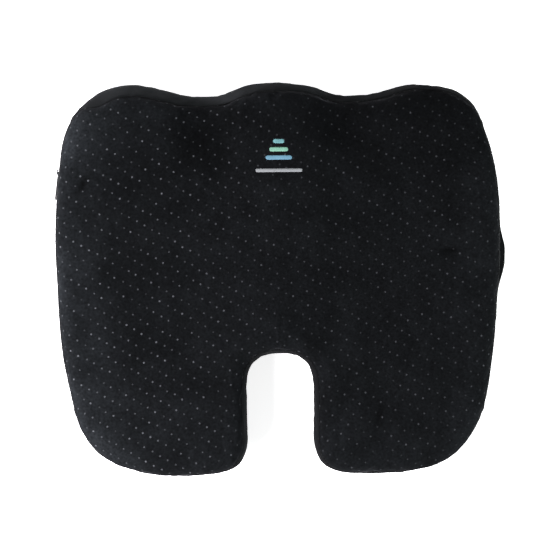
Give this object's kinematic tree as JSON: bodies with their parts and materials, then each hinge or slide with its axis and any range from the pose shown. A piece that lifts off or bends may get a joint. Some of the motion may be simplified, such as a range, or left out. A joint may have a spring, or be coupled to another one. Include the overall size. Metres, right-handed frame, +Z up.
{
  "type": "seat cushion",
  "caption": "U-shaped coccyx seat cushion with a contoured top, rear cut-out, zipped fabric cover and webbing carry handle.",
  "frame": {"origin": "on the flat underside, at the middle of the body's width and depth, handle and zip pull left out", "axes": "+X to the side with the carry handle, +Y to the front edge under the thighs (the cut-out opens towards -Y), +Z up out of the sitting surface"},
  "size_m": [0.4526, 0.391, 0.0733],
  "materials": {
    "dotted_velour": "short-pile velour knit with small pale pin dots in a slanted lattice",
    "band_jersey": "plain matte jersey knit",
    "anti_slip_fabric": "flat weave with printed rubber grip dots",
    "memory_foam": "open-cell moulded foam skin",
    "zip_tape": "woven herringbone tape",
    "zip_coil": "nylon coil",
    "zip_metal": "black lacquered zinc",
    "webbing": "ribbed nylon webbing"
  },
  "bodies": {
    "cushion": {"foam_core": "memory_foam", "cover_top_panel": "dotted_velour", "cover_bottom_panel": "anti_slip_fabric", "band_front": "band_jersey", "band_right": "band_jersey", "band_rear_right": "band_jersey", "band_cutout": "band_jersey", "band_rear_left": "band_jersey", "zip_strip_upper": "band_jersey", "zip_strip_lower": "band_jersey", "zip_tape_upper": "zip_tape", "zip_tape_lower": "zip_tape", "zip_coil_upper": "zip_coil", "zip_coil_lower": "zip_coil", "zip_top_stop_upper": "zip_metal", "zip_top_stop_lower": "zip_metal", "zip_bottom_stop": "zip_metal", "handle_end_front": "webbing", "handle_end_rear": "webbing"},
    "slider": {"zip_slider": "zip_metal"},
    "pull": {"zip_pull": "zip_metal"},
    "strap": {"handle_strap": "webbing"}
  },
  "joints": [
    {"name": "zip_travel", "type": "hinge", "parent": "cushion", "child": "slider", "pos_m": [0.4583, 0.027, 0.03], "axis": [0, 0, 1], "range_deg": [0, 18.1]},
    {"name": "pull_flip", "type": "hinge", "parent": "slider", "child": "pull", "pos_m": [-0.21934, 0.10911, 0.03], "axis": [0, 0, -1], "range_deg": [0, 175]},
    {"name": "handle_flex", "type": "hinge", "parent": "cushion", "child": "strap", "pos_m": [0.22166, 0.0195, 0.026], "axis": [0.011, 0.9999, 0], "range_deg": [-16, 16], "stiffness_Nm_per_rad": 0.02}
  ]
}
